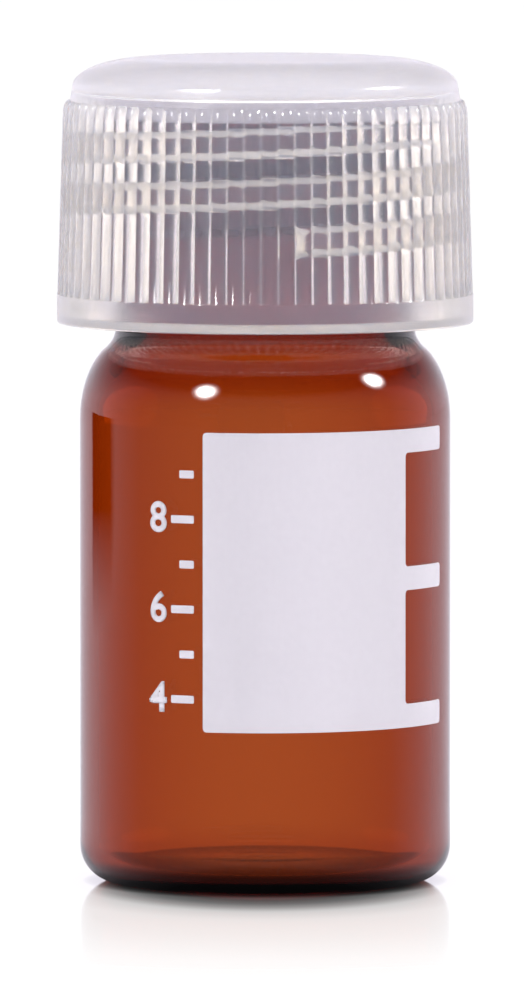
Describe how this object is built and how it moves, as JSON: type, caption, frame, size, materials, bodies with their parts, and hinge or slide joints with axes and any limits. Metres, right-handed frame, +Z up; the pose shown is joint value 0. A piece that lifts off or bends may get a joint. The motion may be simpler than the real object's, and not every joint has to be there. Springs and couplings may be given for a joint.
{
  "type": "glass sample vial",
  "caption": "Small cylindrical amber glass vial with a rounded shoulder, a white writing panel and a ribbed translucent screw cap.",
  "frame": {"origin": "on the vial's axis, at the table that it stands on", "axes": "+Z up along the vial's axis, -Y towards the front that shows the writing panel, +X to the right of that front"},
  "size_m": [0.0264, 0.0264, 0.0523],
  "materials": {
    "amber_glass": "clear amber borosilicate glass, fire-polished",
    "white_enamel": "fired white enamel, matt enough to write on",
    "liner_foam": "white expanded polyethylene",
    "natural_plastic": "uncoloured polypropylene, milky and see-through"
  },
  "bodies": {
    "vial": {"vial_body": "amber_glass", "writing_panel": "white_enamel", "volume_scale": "white_enamel"},
    "liner": {"cap_liner": "liner_foam"},
    "cap": {"screw_cap": "natural_plastic"}
  },
  "joints": [
    {"name": "cap_lift", "type": "slide", "parent": "vial", "child": "liner", "axis": [0, 0, 1], "range_m": [0, 0.00476]},
    {"name": "cap_turn", "type": "hinge", "parent": "liner", "child": "cap", "pos_m": [0, 0, 0.0486], "axis": [0, 0, 1], "range_deg": [0, 540]}
  ],
  "couplings": [
    {"joint": "cap_lift", "follows": "cap_turn", "m_per_rad": 0.00050532}
  ]
}
